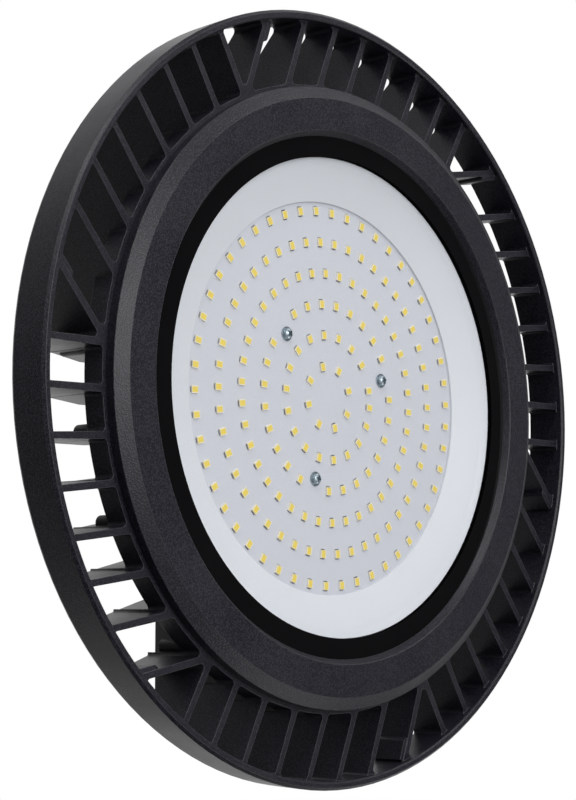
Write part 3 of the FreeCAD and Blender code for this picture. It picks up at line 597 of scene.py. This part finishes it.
# ---- cover ---------------------------------------------------------------------------------------------
def glass_cover(finishes):
    """Round pane with ground edges: clear inside, printed black outside the window."""
    low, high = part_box("lens_cover")
    radius, front, back = high[0], low[2], high[2]
    profile = [(0, front), (BORDER_IN_R, front), (radius - GLASS_ARRIS, front), (radius, front + GLASS_ARRIS),
               (radius, back - GLASS_ARRIS), (radius - GLASS_ARRIS, back), (BORDER_IN_R, back), (0, back)]
    shape = lathe(profile, GLASS_SIDES, finish_of=(0, 1, 1, 1, 1, 1, 0, 0))
    made = to_object("glass_cover", shape, [finishes["cover_clear"], finishes["cover_print"]])
    for face in made.data.polygons:
        face.use_smooth = False
    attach(made, "root")
    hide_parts("lens_cover")
    return made


# ---- view, light and floor -------------------------------------------------------------------------------
def make_camera():
    data = bpy.data.cameras.new("camera")
    data.lens = CAMERA_LENS
    data.sensor_width = SENSOR
    data.clip_start, data.clip_end = CLIP
    camera = bpy.data.objects.new("camera", data)
    right, up = Vector(CAMERA_RIGHT).normalized(), Vector(CAMERA_UP).normalized()
    back = right.cross(up).normalized()
    turn = Matrix((right, back.cross(right), back)).transposed()
    camera.matrix_world = Matrix.Translation(CAMERA_PLACE) @ turn.to_4x4()
    bpy.context.scene.collection.objects.link(camera)
    bpy.context.scene.camera = camera
    return right, up, -back


def softbox(name, place, aim, size, power):
    data = bpy.data.lights.new(name, "AREA")
    data.shape = "RECTANGLE"
    data.size, data.size_y = size
    data.energy = power
    lamp = bpy.data.objects.new(name, data)
    lamp.visible_camera = False
    lamp.location = place
    lamp.rotation_euler = (Vector(aim) - Vector(place)).to_track_quat("-Z", "Y").to_euler()
    bpy.context.scene.collection.objects.link(lamp)


def make_lamps(right, up, ahead):
    """Softboxes placed from the light's middle along the view's own directions."""
    for name, (sideways, upwards, backwards), size, power in LAMPS:
        place = Vector(AIM) + right * sideways + up * upwards - ahead * backwards
        softbox(name, place, AIM, size, power)


def make_world(ahead):
    """White where the view looks and in what shines towards it, dim behind the view."""
    world = bpy.data.worlds.new("studio")
    world.use_nodes = True
    world.node_tree.nodes.clear()
    tree = Tree(world.node_tree)
    output = tree.add("ShaderNodeOutputWorld")
    way = tree.add("ShaderNodeTexCoord").outputs["Generated"]
    along = tree.add("ShaderNodeVectorMath", {"operation": "DOT_PRODUCT"})
    tree.put(along, 0, way)
    tree.put(along, 1, tuple(ahead))
    wall = tree.scale_range(along.outputs["Value"], *WALL_RAMP, WALL_DARK, 1.0)
    path = tree.add("ShaderNodeLightPath")
    seen = tree.math("MAXIMUM", path.outputs["Is Camera Ray"], path.outputs["Is Transmission Ray"])
    shiny = tree.math("MULTIPLY", path.outputs["Is Glossy Ray"], wall)
    soft = tree.math("MULTIPLY", path.outputs["Is Diffuse Ray"], FILL)
    strength = tree.math("MAXIMUM", tree.math("MAXIMUM", seen, shiny), soft)
    sky = tree.add("ShaderNodeBackground", Color=rgba(1, 1, 1), Strength=strength)
    tree.put(output, "Surface", sky.outputs[0])
    bpy.context.scene.world = world


def make_floor():
    shape = bmesh.new()
    bmesh.ops.create_grid(shape, x_segments=2, y_segments=2, size=FLOOR_HALF)
    material, tree, output = new_material("floor_paint")
    place = tree.add("ShaderNodeTexCoord").outputs["Object"]
    cloud = tree.add("ShaderNodeTexNoise", Vector=place, Scale=6.0, Detail=4.0)
    colour = tree.blend(cloud.outputs[0], rgba(*FLOOR_PAINT[0]), rgba(*FLOOR_PAINT[1]))
    path = tree.add("ShaderNodeLightPath")
    seen = tree.math("MAXIMUM", path.outputs["Is Camera Ray"],
                     tree.math("MAXIMUM", path.outputs["Is Transmission Ray"], path.outputs["Is Glossy Ray"]))
    shader = tree.add("ShaderNodeBsdfPrincipled", Base_Color=colour, Roughness=0.7,
                      Emission_Color=rgba(1, 1, 1), Emission_Strength=tree.math("MULTIPLY", seen, FLOOR_GLOW))
    tree.put(output, "Surface", shader.outputs[0])
    floor = to_object("floor", shape, [material])
    floor.location = (0, 0, -FLOOR_DROP)


def main():
    for old in list(bpy.data.objects):
        bpy.data.objects.remove(old)
    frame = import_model()
    right, up, ahead = make_camera()
    make_world(ahead)
    make_lamps(right, up, ahead)
    make_floor()
    finishes = make_materials()
    dress_nodes(frame["nodes"], finishes)
    led_packages(frame["nodes"], finishes)
    board_screws(frame["nodes"], finishes)
    glass_cover(finishes)
    scene = bpy.context.scene
    scene.view_settings.view_transform = "Standard"


main()
